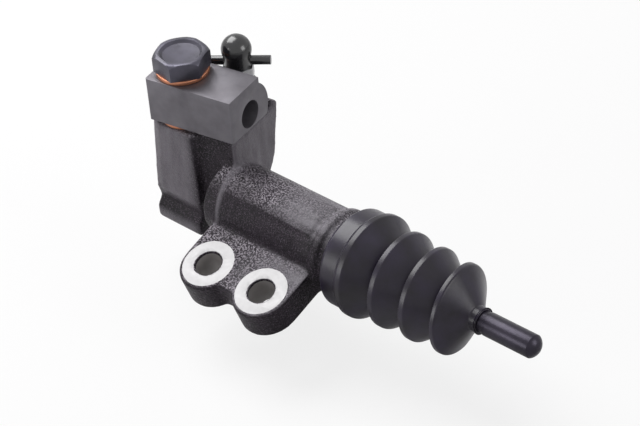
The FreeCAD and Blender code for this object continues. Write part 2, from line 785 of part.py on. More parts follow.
def boot_corners():
    """Work out the corners of the boot's outside: lip, crests with steep rear and long front flanks, neck."""
    lip_start = number("collarStation + collarWidth + reliefWidth + rimWidth + bootFit")
    lip_radius = number("lipRadius")
    step = number("crestStep")
    corners = [
        (lip_start + step, lip_radius - number("bootWall")),
        (lip_start + step * 2, lip_radius),
        (lip_start + number("lipLength"), lip_radius),
    ]
    for index in range(int(number("crestCount"))):
        station = number(f"crestStation + {index} * crestPitch")
        radius = number(f"crestRadius - {index} * crestTaper")
        if index:
            valley = radius - number("valleyDepth")
            corners.append((station - step * 3, valley))
            corners.append((station - step * 2, valley))
        corners.append((station - step, radius))
        corners.append((station + number("crestFlat"), radius))
    neck_radius = number("neckBootRadius")
    corners.append((number("rodGrooveStation - rodGrooveWidth / 2 + bootFit"), neck_radius))
    corners.append((number("rodGrooveStation + rodGrooveWidth / 2 - bootFit"), neck_radius))
    return corners


def dust_boot():
    """Mould the bellows boot: an even wall along its profile, a bead at its lip and a ring at its neck."""
    profile = Part.makePolygon([FreeCAD.Vector(station, radius) for station, radius in boot_corners()])
    section = profile.makeOffset2D(number("bootWall"), SHARP_JOIN, True, True)
    wall = section.revolve(FreeCAD.Vector(), X_AXIS, 360)
    shell = doc.addObject("Part::Feature", "BootShell")
    shell.Shape = wall
    seat = "barrelRadius - seatDepth + bootFit"
    lip_start = "collarStation + collarWidth + reliefWidth + rimWidth + bootFit"
    bead_end = "collarStation + collarWidth + reliefWidth + rimWidth + seatWidth - bootFit"
    bead = turned_body("BootBead", [
        (lip_start, seat),
        (bead_end, seat),
        (bead_end, "lipRadius - bootWall / 2"),
        (f"{lip_start} + crestStep * 2", "lipRadius - bootWall / 2"),
        (lip_start, "lipRadius - bootWall * 2"),
    ])
    grip_start = "rodGrooveStation - rodGrooveWidth / 2 + bootFit"
    grip_end = "rodGrooveStation + rodGrooveWidth / 2 - bootFit"
    grip = "rodShankRadius - rodGrooveDepth + bootFit"
    ring = turned_body("BootGrip", [
        (grip_start, grip),
        (grip_end, grip),
        (grip_end, "neckBootRadius"),
        (grip_start, "neckBootRadius"),
    ])
    return finish(fuse([shell, bead, ring]), "dust_boot")


def build():
    """Build every piece of the actuator."""
    return [
        cylinder_body(),
        pipe_union(),
        banjo_bolt(),
        sealing_washer("union_washer_upper", UNION_TOP),
        sealing_washer("union_washer_lower", TOWER_TOP),
        bleeder_screw(),
        bleeder_cap(),
        piston(),
        pressure_cup(),
        guide_cup(),
        spring_seat(),
        return_spring(),
        stop_ring(),
        push_rod(),
        dust_boot(),
    ]


def check(pieces):
    """Stop if an object failed or a piece isn't one valid solid."""
    for item in doc.Objects:
        if "Invalid" in item.State or "Error" in item.State:
            raise RuntimeError(f"{item.Name} failed: {item.getStatusString()}")
    for piece in pieces:
        if piece.Shape.isNull() or not piece.Shape.isValid() or len(piece.Shape.Solids) != 1:
            raise RuntimeError(f"{piece.Label} isn't one valid solid")


def write(pieces):
    """Write each piece to its own file."""
    os.makedirs("parts", exist_ok=True)
    for piece in pieces:
        piece.Shape.exportStep(os.path.join("parts", piece.Label + ".step"))


fill_sheet()
actuator = build()
doc.recompute()
check(actuator)
write(actuator)
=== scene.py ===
"""Dress the clutch actuator's frame with its painted, machined and rubber surfaces.

Every length is in metres, in the part's own frame: the origin is between the two lug
holes, X runs along the barrel towards the push rod and Z along the union bolt.
"""

import json
import logging
import math
from dataclasses import dataclass
from enum import Enum

import bmesh
import bpy
from mathutils import Matrix, Vector


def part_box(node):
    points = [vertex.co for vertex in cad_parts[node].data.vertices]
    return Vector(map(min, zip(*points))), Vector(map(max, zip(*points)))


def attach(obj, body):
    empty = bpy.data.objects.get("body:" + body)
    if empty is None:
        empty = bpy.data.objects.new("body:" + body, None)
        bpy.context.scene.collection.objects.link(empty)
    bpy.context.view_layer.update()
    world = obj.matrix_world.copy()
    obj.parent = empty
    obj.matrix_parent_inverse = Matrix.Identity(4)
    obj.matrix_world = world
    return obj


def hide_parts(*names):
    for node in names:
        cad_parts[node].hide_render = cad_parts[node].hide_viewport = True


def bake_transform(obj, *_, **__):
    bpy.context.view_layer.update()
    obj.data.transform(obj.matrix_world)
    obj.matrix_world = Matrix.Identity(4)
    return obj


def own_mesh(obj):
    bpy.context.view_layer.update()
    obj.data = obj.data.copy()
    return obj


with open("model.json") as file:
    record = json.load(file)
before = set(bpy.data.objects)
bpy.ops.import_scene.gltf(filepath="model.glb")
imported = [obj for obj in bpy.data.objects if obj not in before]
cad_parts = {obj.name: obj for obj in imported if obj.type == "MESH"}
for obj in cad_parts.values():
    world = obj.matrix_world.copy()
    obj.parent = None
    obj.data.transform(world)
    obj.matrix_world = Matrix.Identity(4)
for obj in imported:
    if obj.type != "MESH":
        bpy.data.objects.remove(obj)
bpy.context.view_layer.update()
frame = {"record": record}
LOG = logging.getLogger("clutch_actuator")

Socket = bpy.types.NodeSocket
Span = tuple[float, float]
Place = tuple[float, float, float]
Colour = tuple[float, float, float, float]

ALONG: Place = (1, 0, 0)
UP: Place = (0, 0, 1)
EVEN: Place = (1, 1, 1)


class Body(str, Enum):
    """Name the moving bodies of the frame."""

    CYLINDER = "cylinder"
    PISTON = "piston"
    ROD = "rod"
    BLEEDER = "bleeder"
    CAP = "cap"


@dataclass(frozen=True)
class Places:
    """Hold the places that several pieces share, worked out from the frame."""

    axis_y: float
    axis_z: float
    lug_tilt: float
    lug_middle: float = 0.023

    @classmethod
    def from_frame(cls) -> "Places":
        """Read the barrel's axis and the lugs' tilt from the frame's record.

        Returns:
            The shared places.
        """
        mounts = {mount["name"]: mount for mount in frame["record"]["mounts"]}
        tip = mounts["push_rod_tip"]["pos_m"]
        lug_axis = mounts["mounting_lugs"]["axis"]
        return cls(tip[1], tip[2], math.atan2(-lug_axis[1], lug_axis[2]))

    def station(self, along: float) -> float:
        """Turn a station along the barrel, counted from the port's face, into X."""
        return along - self.lug_middle

    def on_axis(self, along: float) -> Place:
        """Find the point of the barrel's axis at a station."""
        return (self.station(along), self.axis_y, self.axis_z)


class Shader:
    """Wrap a new material and its node tree with short node helpers."""

    RAMP_SPAN: Span = (0.3, 0.7)
    FACING_SPAN: Span = (0.55, 0.85)
    NOISE_ROUGHNESS: float = 0.55
    SPECK_DETAIL: float = 2.0

    def __init__(self, name: str) -> None:
        """Start a material with a Principled shader.

        Args:
            name: Name of the material.
        """
        self.material = bpy.data.materials.new(name)
        self.material.use_nodes = True
        self.tree = self.material.node_tree
        self.surface = self.tree.nodes["Principled BSDF"]
        self.coordinates = self.tree.nodes.new("ShaderNodeTexCoord").outputs["Object"]

    def set(self, **values: float | Colour) -> None:
        """Set constant values on the shader's own sockets.

        Args:
            **values: Socket names with underscores for spaces, and their values.
        """
        for name, value in values.items():
            self.surface.inputs[name.replace("_", " ")].default_value = value

    def drive(self, socket: str, source: Socket) -> None:
        """Link a named input of the shader to the output that drives it."""
        self.tree.links.new(source, self.surface.inputs[socket])

    def noise(self, cells: float, detail: float, stretch: Place = EVEN) -> Socket:
        """Add a noise texture over the object's own coordinates.

        Args:
            cells: Cells per metre.
            detail: Octaves of detail.
            stretch: Factor on each axis, for brushed or drawn patterns.

        Returns:
            The noise's factor.
        """
        mapping = self.tree.nodes.new("ShaderNodeMapping")
        mapping.inputs["Scale"].default_value = stretch
        self.tree.links.new(self.coordinates, mapping.inputs["Vector"])
        node = self.tree.nodes.new("ShaderNodeTexNoise")
        node.inputs["Scale"].default_value = cells
        node.inputs["Detail"].default_value = detail
        node.inputs["Roughness"].default_value = self.NOISE_ROUGHNESS
        self.tree.links.new(mapping.outputs["Vector"], node.inputs["Vector"])
        return node.outputs["Fac"]

    def ramp(self, factor: Socket, low: Colour, high: Colour) -> Socket:
        """Spread a factor's middle range between two colours.

        Args:
            factor: Socket that drives the ramp.
            low: Colour at the start.
            high: Colour at the end.

        Returns:
            The ramp's colour.
        """
        node = self.tree.nodes.new("ShaderNodeValToRGB")
        for element, position, colour in zip(node.color_ramp.elements, self.RAMP_SPAN, (low, high)):
            element.position = position
            element.color = colour
        self.tree.links.new(factor, node.inputs["Fac"])
        return node.outputs["Color"]

    def level(self, factor: Socket, low: float, high: float) -> Socket:
        """Map a factor to a range of numbers.

        Args:
            factor: Socket between 0 and 1.
            low: Number for 0.
            high: Number for 1.

        Returns:
            The mapped number.
        """
        node = self.tree.nodes.new("ShaderNodeMapRange")
        node.inputs["To Min"].default_value = low
        node.inputs["To Max"].default_value = high
        self.tree.links.new(factor, node.inputs["Value"])
        return node.outputs["Result"]

    def rise(self, value: Socket, start: float, end: float) -> Socket:
        """Rise from 0 to 1 while a value goes from one number to another.

        Args:
            value: The value.
            start: Number at which the result is 0.
            end: Number at which it is 1.

        Returns:
            The factor.
        """
        node = self.tree.nodes.new("ShaderNodeMapRange")
        node.inputs["From Min"].default_value = start
        node.inputs["From Max"].default_value = end
        self.tree.links.new(value, node.inputs["Value"])
        return node.outputs["Result"]

    def share(self, vector: Socket, direction: Place) -> Socket:
        """Measure how much of a vector lies along a direction.

        Args:
            vector: The vector's socket.
            direction: Unit vector to measure along.

        Returns:
            The dot product.
        """
        node = self.tree.nodes.new("ShaderNodeVectorMath")
        node.operation = "DOT_PRODUCT"
        node.inputs[1].default_value = direction
        self.tree.links.new(vector, node.inputs[0])
        return node.outputs["Value"]

    def specks(self, cells: float, start: float, end: float) -> Socket:
        """Pick out specks of a noise, which begin at one of its levels and are full at another."""
        return self.rise(self.noise(cells, self.SPECK_DETAIL), start, end)

    def along(self, direction: Place, start: float, end: float) -> Socket:
        """Rise from 0 to 1 between two distances along a direction."""
        return self.rise(self.share(self.coordinates, direction), start, end)

    def facing(self, direction: Place) -> Socket:
        """Rise from 0 to 1 as the surface turns to face a direction."""
        normal = self.tree.nodes.new("ShaderNodeNewGeometry").outputs["Normal"]
        return self.rise(self.share(normal, direction), *self.FACING_SPAN)

    def combine(self, way: str, first: Socket, *others: Socket) -> Socket:
        """Combine factors one after the other, kept between 0 and 1.

        Args:
            way: Name of the arithmetic, such as MULTIPLY or MAXIMUM.
            first: The first factor.
            *others: The other factors.

        Returns:
            The combined factor.
        """
        result = first
        for other in others:
            node = self.tree.nodes.new("ShaderNodeMath")
            node.operation = way
            node.use_clamp = True
            self.tree.links.new(result, node.inputs[0])
            self.tree.links.new(other, node.inputs[1])
            result = node.outputs["Value"]
        return result

    def tint(self, factor: Socket, below: Socket, over: Colour) -> Socket:
        """Lay a colour over another where a factor is high.

        Args:
            factor: Socket between 0 and 1.
            below: Colour underneath.
            over: Colour laid on top.

        Returns:
            The mixed colour.
        """
        node = self.tree.nodes.new("ShaderNodeMix")
        node.data_type = "RGBA"
        amount, under, top = node.inputs[0], node.inputs[6], node.inputs[7]
        self.tree.links.new(factor, amount)
        self.tree.links.new(below, under)
        top.default_value = over
        return node.outputs[2]

    def bump(self, layers: list[tuple[Socket, float]], strength: Socket | None = None) -> None:
        """Stack bump layers on the shader's normal.

        Args:
            layers: Pairs of a height and its depth in metres.
            strength: Factor that makes the layers fade in and out, or None for an even strength.
        """
        previous = None
        for height, depth in layers:
            node = self.tree.nodes.new("ShaderNodeBump")
            node.inputs["Distance"].default_value = depth
            self.tree.links.new(height, node.inputs["Height"])
            if strength is not None:
                self.tree.links.new(strength, node.inputs["Strength"])
            if previous is not None:
                self.tree.links.new(previous, node.inputs["Normal"])
            previous = node.outputs["Normal"]
        self.drive("Normal", previous)

    def lift_for_camera(self, share: float) -> None:
        """Show the surface nearly white to the camera, with its shadows kept faint.

        Args:
            share: How much of what the camera sees is plain white.
        """
        path = self.tree.nodes.new("ShaderNodeLightPath")
        part = self.tree.nodes.new("ShaderNodeMath")
        part.operation = "MULTIPLY"
        part.inputs[1].default_value = share
        self.tree.links.new(path.outputs["Is Camera Ray"], part.inputs[0])
        white = self.tree.nodes.new("ShaderNodeEmission")
        mix = self.tree.nodes.new("ShaderNodeMixShader")
        self.tree.links.new(part.outputs["Value"], mix.inputs[0])
        self.tree.links.new(self.surface.outputs["BSDF"], mix.inputs[1])
        self.tree.links.new(white.outputs["Emission"], mix.inputs[2])
        self.tree.links.new(mix.outputs["Shader"], self.tree.nodes["Material Output"].inputs["Surface"])


@dataclass(frozen=True)
class PaintedCasting:
    """Black paint over sand-cast iron: dark grit, dust specks with painted glints on upward faces, a worn
    pad with a painted highlight and a painted sheen on the head's flat faces.
    """

    colour: Colour = (0.0045, 0.004, 0.005, 1)
    dusty: Colour = (0.019, 0.014, 0.020, 1)
    dusty_cells: float = 70.0
    grit: Colour = (0.070, 0.056, 0.073, 1)
    grit_cells: float = 2300.0
    grit_edge: Span = (0.56, 0.62)
    # Pale specks: partly dust, partly painted glints that make upward faces look lit.
    dust_glint: Colour = (0.370, 0.338, 0.380, 1)
    speck_cells: float = 1800.0
    speck_edge: Span = (0.49, 0.57)
    # Direction the specks favour: upward faces get them, both as settled dust and as painted top light.
    dust_and_light_from: Place = (-0.10, 0.15, 0.98)
    coarse_cells: float = 80.0
    coarse_levels: Span = (-0.35, 1.65)
    # Pale colour on the pad's upward faces: worn paint and a painted highlight.
    worn_and_lit: Colour = (0.185, 0.174, 0.194, 1)
    pad_start: Span = (-0.004, 0.010)
    line_cells: float = 420.0
    line_stretch: Place = (0.15, 1, 1)
    line_levels: Span = (-0.4, 1.5)
    # Painted sheen: the tower's and block's flat faces are painted paler, as if lit.
    painted_sheen: Colour = (0.205, 0.190, 0.215, 1)
    streak_cells: float = 260.0
    streak_stretch: Place = (1, 1, 0.2)
    streak_levels: Span = (0.1, 1.0)
    head_yaw: float = 10.5
    tower_edge: Span = (-0.0370, -0.0425)
    groove_top: Span = (-0.0045, -0.0010)
    groove_foot: Span = (-0.0085, -0.0115)
    face_edge: Span = (-0.0190, -0.0182)
    block_edge: Span = (-0.0195, -0.0215)
    lump_cells: float = 420.0
    lump_depth: float = 0.00022
    grain_cells: float = 1700.0
    grain_depth: float = 0.00060
    peel_cells: float = 3200.0
    peel_depth: float = 0.00016
    gloss: Span = (0.28, 0.46)
    gloss_cells: float = 300.0
    specular: float = 0.13

    def sheen_faces(self, shader: Shader) -> Socket:
        """Pick out the tower's and the block's flat faces for a painted sheen; the tower's groove band is
        left out, which leaves it darker as painted shade.

        Args:
            shader: The casting's shader.

        Returns:
            A factor that is 1 on those faces.
        """
        yaw = math.radians(self.head_yaw)
        square = (math.cos(yaw), math.sin(yaw), 0)
        over_groove = shader.along(UP, *self.groove_top)
        under_groove = shader.along(UP, *self.groove_foot)
        ungrooved = shader.combine("MAXIMUM", over_groove, under_groove)
        tower = shader.combine("MULTIPLY", shader.along(ALONG, *self.tower_edge), ungrooved)
        face = shader.along(square, *self.face_edge)
        block = shader.combine("MULTIPLY", face, shader.along(ALONG, *self.block_edge))
        return shader.combine("MAXIMUM", tower, block)

    def pad_wear_and_highlight(self, shader: Shader) -> Socket:
        """Pick out the upward faces of the barrel's flat pad for worn paint and a painted highlight,
        streaked along its length.
        """
        lines = shader.noise(self.line_cells, detail=3, stretch=self.line_stretch)
        return shader.combine("MULTIPLY", shader.along(ALONG, *self.pad_start), shader.facing(UP),
                              shader.level(lines, *self.line_levels))

    def material(self) -> bpy.types.Material:
        """Make the material.

        Returns:
            The casting's material.
        """
        shader = Shader("painted_casting")
        coarse = shader.level(shader.noise(self.coarse_cells, detail=3), *self.coarse_levels)
        # Upward faces get pale specks: partly dust, partly painted top light that keeps the sides darker.
        dust_and_top_light = shader.combine("MULTIPLY", coarse, shader.facing(self.dust_and_light_from))
        dust_glint_specks = shader.combine("MULTIPLY", shader.specks(self.speck_cells, *self.speck_edge), dust_and_top_light)
        streaks = shader.noise(self.streak_cells, detail=4, stretch=self.streak_stretch)
        # Painted sheen on the tower's and block's flat faces, with the tower's groove band left darker as
        # painted shade.
        painted_sheen_mask = shader.combine("MULTIPLY", self.sheen_faces(shader), shader.level(streaks, *self.streak_levels))
        paint = shader.ramp(shader.noise(self.dusty_cells, detail=4), self.colour, self.dusty)
        paint = shader.tint(shader.specks(self.grit_cells, *self.grit_edge), paint, self.grit)
        paint = shader.tint(dust_glint_specks, paint, self.dust_glint)
        # Worn paint and painted highlight on the pad's upward faces.
        paint = shader.tint(self.pad_wear_and_highlight(shader), paint, self.worn_and_lit)
        shader.drive("Base Color", shader.tint(painted_sheen_mask, paint, self.painted_sheen))
        shader.drive("Roughness", shader.level(shader.noise(self.gloss_cells, detail=5), *self.gloss))
        shader.bump([
            (shader.noise(self.lump_cells, detail=2), self.lump_depth),
            (shader.noise(self.grain_cells, detail=3), self.grain_depth),
            (shader.noise(self.peel_cells, detail=2), self.peel_depth),
        ], coarse)
        shader.set(Specular_IOR_Level=self.specular)
        return shader.material


@dataclass(frozen=True)
class DarkSteel:
    """Black-finished steel over milled or turned faces: satin, with faint tool marks."""

    name: str = "dark_steel"
    colour: Colour = (0.089, 0.083, 0.094, 1)
    lifted: Colour = (0.150, 0.143, 0.160, 1)
    gloss: Span = (0.40, 0.52)
    shade_cells: float = 90.0
    gloss_cells: float = 400.0
    mark_cells: float = 1600.0
    mark_depth: float = 0.00002
    wave_cells: float = 300.0
    wave_depth: float = 0.00004
    metallic: float = 0.55
    specular: float = 0.35

    def material(self) -> bpy.types.Material:
        """Make the material.

        Returns:
            The dark steel material.
        """
        shader = Shader(self.name)
        shade = shader.noise(self.shade_cells, detail=4)
        shader.drive("Base Color", shader.ramp(shade, self.colour, self.lifted))
        shader.drive("Roughness", shader.level(shader.noise(self.gloss_cells, detail=4), *self.gloss))
        shader.bump([
            (shader.noise(self.mark_cells, detail=3), self.mark_depth),
            (shader.noise(self.wave_cells, detail=2), self.wave_depth),
        ])
        shader.set(Specular_IOR_Level=self.specular, Metallic=self.metallic)
        return shader.material


@dataclass(frozen=True)
class MachinedMetal:
    """Bare metal with fine tool marks along one direction."""

    name: str
    colour: Colour
    metallic: float = 1.0
    gloss: Span = (0.28, 0.42)
    stretch: Place = EVEN
    shade_cells: float = 500.0
    shade_share: float = 0.92
    gloss_cells: float = 900.0
    mark_cells: float = 1800.0
    mark_depth: float = 0.00001

    def material(self) -> bpy.types.Material:
        """Make the material.

        Returns:
            The bare metal material.
        """
        shader = Shader(self.name)
        darker = tuple(channel * self.shade_share for channel in self.colour[:3]) + (1,)
        shade = shader.noise(self.shade_cells, detail=4)
        shader.drive("Base Color", shader.ramp(shade, darker, self.colour))
        gloss = shader.noise(self.gloss_cells, detail=3, stretch=self.stretch)
        shader.drive("Roughness", shader.level(gloss, *self.gloss))
        marks = shader.noise(self.mark_cells, detail=2, stretch=self.stretch)
        shader.bump([(marks, self.mark_depth)])
        shader.set(Metallic=self.metallic)
        return shader.material


@dataclass(frozen=True)
class MouldedRubber:
    """Black rubber with a faint bluish bloom and a fine moulded texture."""

    name: str = "moulded_rubber"
    colour: Colour = (0.004, 0.002, 0.006, 1)
    bloom: Colour = (0.015, 0.010, 0.027, 1)
    gloss: Span = (0.25, 0.36)
    specular: float = 0.36
    bloom_cells: float = 120.0
    gloss_cells: float = 700.0
    grain_cells: float = 3200.0
    grain_depth: float = 0.00001
    wave_cells: float = 420.0
    wave_depth: float = 0.00002
    sheen: float = 0.05
    sheen_roughness: float = 0.4

    def material(self) -> bpy.types.Material:
        """Make the material.

        Returns:
            The rubber material.
        """
        shader = Shader(self.name)
        bloom = shader.noise(self.bloom_cells, detail=5)
        shader.drive("Base Color", shader.ramp(bloom, self.colour, self.bloom))
        shader.drive("Roughness", shader.level(shader.noise(self.gloss_cells, detail=3), *self.gloss))
        shader.bump([
            (shader.noise(self.grain_cells, detail=2), self.grain_depth),
            (shader.noise(self.wave_cells, detail=2), self.wave_depth),
        ])
        shader.set(Specular_IOR_Level=self.specular, Sheen_Weight=self.sheen,
                   Sheen_Roughness=self.sheen_roughness)
        return shader.material


class Finishes:
    """Make each finish once and hand it out."""

    def __init__(self) -> None:
        """Make the materials."""
        self.casting = PaintedCasting().material()
        self.union = DarkSteel().material()
        self.bolt = DarkSteel(
            "bolt_black", (0.054, 0.052, 0.066, 1), (0.100, 0.095, 0.128, 1), (0.26, 0.38)).material()
        self.rod = DarkSteel(
            "rod_black", (0.014, 0.012, 0.019, 1), (0.032, 0.027, 0.042, 1), (0.26, 0.38)).material()
        self.ring = MachinedMetal("machined_ring", (0.33, 0.325, 0.33, 1), 0.4, (0.42, 0.56)).material()
        self.hole = MachinedMetal("drilled_hole", (0.30, 0.285, 0.28, 1), 0.5, (0.5, 0.6)).material()
        self.copper = MachinedMetal("copper", (0.46, 0.20, 0.12, 1), gloss=(0.4, 0.55)).material()
        self.steel = MachinedMetal("plated_steel", (0.34, 0.34, 0.35, 1), gloss=(0.3, 0.45)).material()
        self.bright = MachinedMetal(
            "turned_aluminium", (0.80, 0.81, 0.83, 1), gloss=(0.2, 0.35), stretch=(8, 1, 1)).material()
        self.spring = MachinedMetal("spring_steel", (0.45, 0.45, 0.47, 1), gloss=(0.25, 0.4)).material()
        self.rubber = MouldedRubber().material()
        self.cap = MouldedRubber(
            "cap_rubber", (0.004, 0.004, 0.005, 1), (0.012, 0.012, 0.014, 1), (0.16, 0.26), 0.7).material()


def add_piece(name: str, mesh: bpy.types.Mesh) -> bpy.types.Object:
    """Put a mesh into the scene as a new object.

    Args:
        name: Name of the object.
        mesh: Its mesh.

    Returns:
        The new object, with no parent.
    """
    piece = bpy.data.objects.new(name, mesh)
    bpy.context.scene.collection.objects.link(piece)
    return piece


def copy_of(node: str, name: str) -> bpy.types.Object:
    """Copy a CAD node's mesh into a new object.

    Args:
        node: Name of the CAD node.
        name: Name of the new piece.

    Returns:
        The new object, with no parent and no material.
    """
    mesh = bpy.data.objects[node].data.copy()
    mesh.materials.clear()
    return add_piece(name, mesh)


def mesh_of(work: bmesh.types.BMesh, name: str) -> bpy.types.Mesh:
    """Turn a work mesh into a mesh with its normals outward, and free the work mesh.

    Args:
        work: The work mesh.
        name: Name of the new mesh.

    Returns:
        The new mesh.
    """
    bmesh.ops.recalc_face_normals(work, faces=work.faces)
    mesh = bpy.data.meshes.new(name)
    work.to_mesh(mesh)
    work.free()
    return mesh


def apply_modifiers(piece: bpy.types.Object) -> None:
    """Bake a piece's modifiers into its mesh.

    Args:
        piece: The object to bake.
    """
    graph = bpy.context.evaluated_depsgraph_get()
    mesh = bpy.data.meshes.new_from_object(piece.evaluated_get(graph))
    old = piece.data
    piece.modifiers.clear()
    piece.data = mesh
    bpy.data.meshes.remove(old)


def cut_with(piece: bpy.types.Object, operation: str, tool: bpy.types.Object) -> None:
    """Cut a piece with a tool that is then thrown away.

    Args:
        piece: The piece.
        operation: DIFFERENCE or INTERSECT.
        tool: The tool, whose materials, if it has any, pass to the faces that it cuts.
    """
    trim = piece.modifiers.new("Cut", "BOOLEAN")
    trim.operation = operation
    trim.solver = "EXACT"
    if tool.data.materials:
        trim.material_mode = "TRANSFER"
    trim.object = tool
    apply_modifiers(piece)
    mesh = tool.data
    bpy.data.objects.remove(tool)
    bpy.data.meshes.remove(mesh)


def shade_smooth(piece: bpy.types.Object, angle: float) -> None:
    """Shade a piece smooth, with edges over an angle in degrees kept sharp."""
    piece.data.polygons.foreach_set("use_smooth", [True] * len(piece.data.polygons))
    piece.data.set_sharp_from_angle(angle=math.radians(angle))


def put_on(piece: bpy.types.Object, body: Body, slot: str, *nodes: str) -> None:
    """Let a piece ride on a body and let it stand for CAD nodes.

    Args:
        piece: The object.
        body: Body that it moves with.
        slot: The record's material slot; not used.
        *nodes: CAD nodes that it replaces.
    """
    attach(piece, body.value)
    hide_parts(*nodes)


@dataclass
class Casting:
    """The cylinder's iron casting: cast skin with filleted corners, faced rings and drilled holes."""

    finishes: Finishes
    places: Places
    voxel: float = 0.00042
    fillet: float = 0.0012
    smoothing: int = 8
    smooth_share: float = 0.5
    kept_faces: float = 0.5
    lug_half: float = 0.012
    ring_radius: float = 0.0091
    ring_span: Span = (-0.0001, 0.002)
    hole_radius: float = 0.0045
    hole_span: Span = (-0.03, 0.03)
    round_steps: int = 96
    sharp_angle: float = 50.0

    def build(self) -> None:
        """Turn the CAD casting into one skin, then face its rings and drill its lugs."""
        self.skin = copy_of("cylinder_body", "casting")
        self.skin.data.materials.append(self.finishes.casting)
        self.fillet_corners()
        for side in (-1, 1):
            self.carve(side, self.ring_radius, self.ring_span, self.finishes.ring)
            self.carve(side, self.hole_radius, self.hole_span, self.finishes.hole)
        shade_smooth(self.skin, self.sharp_angle)
        LOG.info("casting has %d faces", len(self.skin.data.polygons))

    def fillet_corners(self) -> None:
        """Fill the inner corners by swelling the skin and drawing it back, then smooth it."""
        for index, offset in enumerate((0.0, self.fillet, -self.fillet)):
            if offset:
                push = self.skin.modifiers.new(f"Push{index}", "DISPLACE")
                push.strength = offset
                push.mid_level = 0
            remesh = self.skin.modifiers.new(f"Remesh{index}", "REMESH")
            remesh.mode = "VOXEL"
            remesh.voxel_size = self.voxel
        smooth = self.skin.modifiers.new("Smooth", "SMOOTH")
        smooth.factor = self.smooth_share
        smooth.iterations = self.smoothing
        thin = self.skin.modifiers.new("Thin", "DECIMATE")
        thin.ratio = self.kept_faces
        apply_modifiers(self.skin)

    def carve(self, side: int, radius: float, span: Span, material: bpy.types.Material) -> None:
        """Cut a round face or hole into one lug, square to the lugs' faces.

        Args:
            side: -1 for the rear lug, 1 for the front one.
            radius: Radius of the cut.
            span: Heights of the cut's foot and top over the lug faces.
            material: Finish of the cut faces.
        """
        foot, top = span
        work = bmesh.new()
        bmesh.ops.create_cone(work, cap_ends=True, segments=self.round_steps, radius1=radius,
                              radius2=radius, depth=top - foot)
        mesh = bpy.data.meshes.new("cutter")
        work.to_mesh(mesh)
        work.free()
        mesh.materials.append(material)
        cutter = add_piece("cutter", mesh)
        cutter.matrix_world = (Matrix.Translation((side * self.lug_half, 0, 0))
                               @ Matrix.Rotation(self.places.lug_tilt, 4, "X")
                               @ Matrix.Translation((0, 0, (foot + top) / 2)))
        if material.name not in self.skin.data.materials:
            self.skin.data.materials.append(material)
        cut_with(self.skin, "DIFFERENCE", cutter)

    def dress(self) -> None:
        """Let the casting stand for its CAD node."""
        put_on(self.skin, Body.CYLINDER, "casting", "cylinder_body")


@dataclass
class SoftEdged:
    """A CAD node whose edges are softened and that gets a better finish."""

    node: str
    body: Body
    slot: str
    material: bpy.types.Material
    width: float = 0.0003
    weld: float = 1e-6
    flat_angle: float = 0.6
    edge_angle: float = 30.0
    edge_steps: int = 3
    sharp_angle: float = 40.0

    def build(self) -> None:
        """Copy the node and round its edges."""
        self.piece = copy_of(self.node, self.node + "_dressed")
        self.soften()

    def soften(self) -> None:
        """Join the mesh's split corners and flat faces, round its sharp edges and shade it."""
        work = bmesh.new()
        work.from_mesh(self.piece.data)
        bmesh.ops.remove_doubles(work, verts=work.verts, dist=self.weld)
        bmesh.ops.dissolve_limit(work, angle_limit=math.radians(self.flat_angle), verts=work.verts,
                                 edges=work.edges)
        work.to_mesh(self.piece.data)
        work.free()
        bevel = self.piece.modifiers.new("Rounding", "BEVEL")
        bevel.width = self.width
        bevel.segments = self.edge_steps
        bevel.limit_method = "ANGLE"
        bevel.angle_limit = math.radians(self.edge_angle)
        bevel.use_clamp_overlap = True
        bevel.harden_normals = False
        apply_modifiers(self.piece)
        shade_smooth(self.piece, self.sharp_angle)

    def dress(self) -> None:
        """Give the piece its finish and its body."""
        self.piece.data.materials.append(self.material)
        put_on(self.piece, self.body, self.slot, self.node)


@dataclass
class BoltHead(SoftEdged):
    """The union bolt, whose head is turned to a round rim before its edges are softened."""

    sharp_angle: float = 22.0
    rim_radius: float = 0.0083
    rim_clear: float = 0.00002
    cone_radius: float = 0.0100
    cone_drop: float = 0.0007
    foot_clear: float = 0.001
    round_steps: int = 96
    turn: float = -5.0

    def build(self) -> None:
        """Copy the bolt, chamfer its head's corners down to the round rim, and soften it."""
        self.piece = copy_of(self.node, self.node + "_dressed")
        low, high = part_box(self.node)
        axis = Vector(((low[0] + high[0]) / 2, (low[1] + high[1]) / 2, 0))
        rings = [
            (low[2] - self.foot_clear, self.cone_radius),
            (high[2] - self.cone_drop, self.cone_radius),
            (high[2] + self.rim_clear, self.rim_radius),
        ]
        cut_with(self.piece, "INTERSECT", self.lathe(axis, rings))
        to_axis = Matrix.Translation(axis)
        spin = Matrix.Rotation(math.radians(self.turn), 4, "Z")
        self.piece.data.transform(to_axis @ spin @ to_axis.inverted())
        self.soften()

    def lathe(self, axis: Vector, rings: list[Span]) -> bpy.types.Object:
        """Make the round body that the bolt is trimmed to.

        Args:
            axis: A point of the bolt's axis.
            rings: The body's outline from its foot up, as pairs of a height and a radius.

        Returns:
            The round body.
        """
        work = bmesh.new()
        foot, first_radius = rings[0]
        bmesh.ops.create_circle(work, cap_ends=True, segments=self.round_steps, radius=first_radius,
                                matrix=Matrix.Translation(axis + Vector((0, 0, foot))))
        loop = list(work.edges)
        for (height, radius), (_, before) in zip(rings[1:], rings):
            made = bmesh.ops.extrude_edge_only(work, edges=loop)["geom"]
            edges = [item for item in made if isinstance(item, bmesh.types.BMEdge)]
            loop = [edge for edge in edges if all(vert in made for vert in edge.verts)]
            for vert in {vert for edge in loop for vert in edge.verts}:
                out = (vert.co - axis) * (radius / before)
                vert.co = Vector((axis.x + out.x, axis.y + out.y, height))
        bmesh.ops.contextual_create(work, geom=loop)
        return add_piece("lathe", mesh_of(work, "lathe"))


@dataclass(frozen=True)
class Corner:
    """One corner of a turned outline: its station, its radius and how far it is rounded."""

    along: float
    radius: float
    rounding: float

    def point(self) -> Vector:
        """Give the corner's place in the outline's plane."""
        return Vector((self.along, self.radius))


